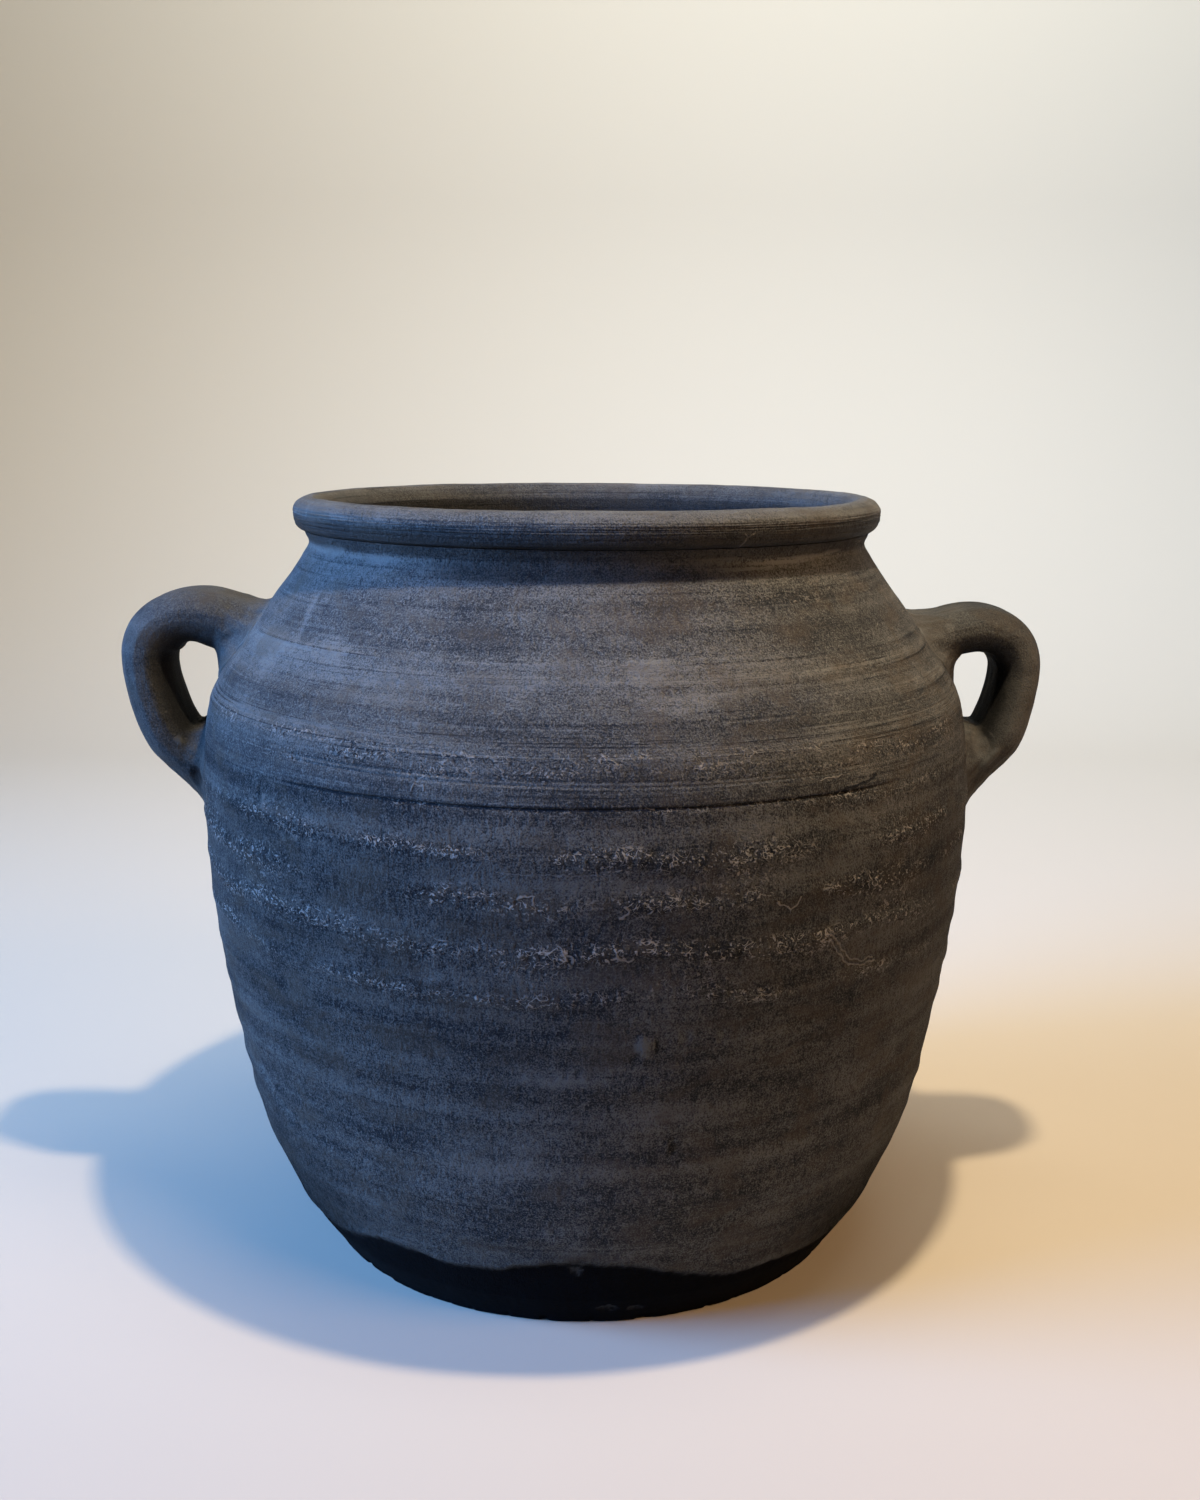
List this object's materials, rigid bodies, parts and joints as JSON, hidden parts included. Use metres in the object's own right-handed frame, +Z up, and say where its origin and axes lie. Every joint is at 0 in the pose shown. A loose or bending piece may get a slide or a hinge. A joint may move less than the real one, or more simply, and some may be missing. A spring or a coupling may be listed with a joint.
{
  "type": "two-handled pottery jar",
  "caption": "Wide-mouthed storage jar of smoke-blackened clay with a rolled rim, a swelling belly and two small loop handles at the shoulder.",
  "frame": {"origin": "centre of the foot, on the surface the jar stands on", "axes": "+Z up out of the mouth, the two handles along X, the larger one at -X, and the front at -Y"},
  "size_m": [0.3737, 0.3092, 0.3],
  "materials": {
    "foot_clay": "matte",
    "body_clay": "matte",
    "shoulder_clay": "matte",
    "neck_clay": "matte",
    "rim_clay": "matte",
    "handle_clay": "matte",
    "pad_clay": "matte"
  },
  "bodies": {
    "root": {"floor": "foot_clay", "lower_wall": "body_clay", "shoulder": "shoulder_clay", "neck": "neck_clay", "rim": "rim_clay", "left_handle": "handle_clay", "left_upper_pad": "pad_clay", "left_lower_pad": "pad_clay", "right_handle": "handle_clay", "right_upper_pad": "pad_clay", "right_lower_pad": "pad_clay"}
  },
  "joints": []
}
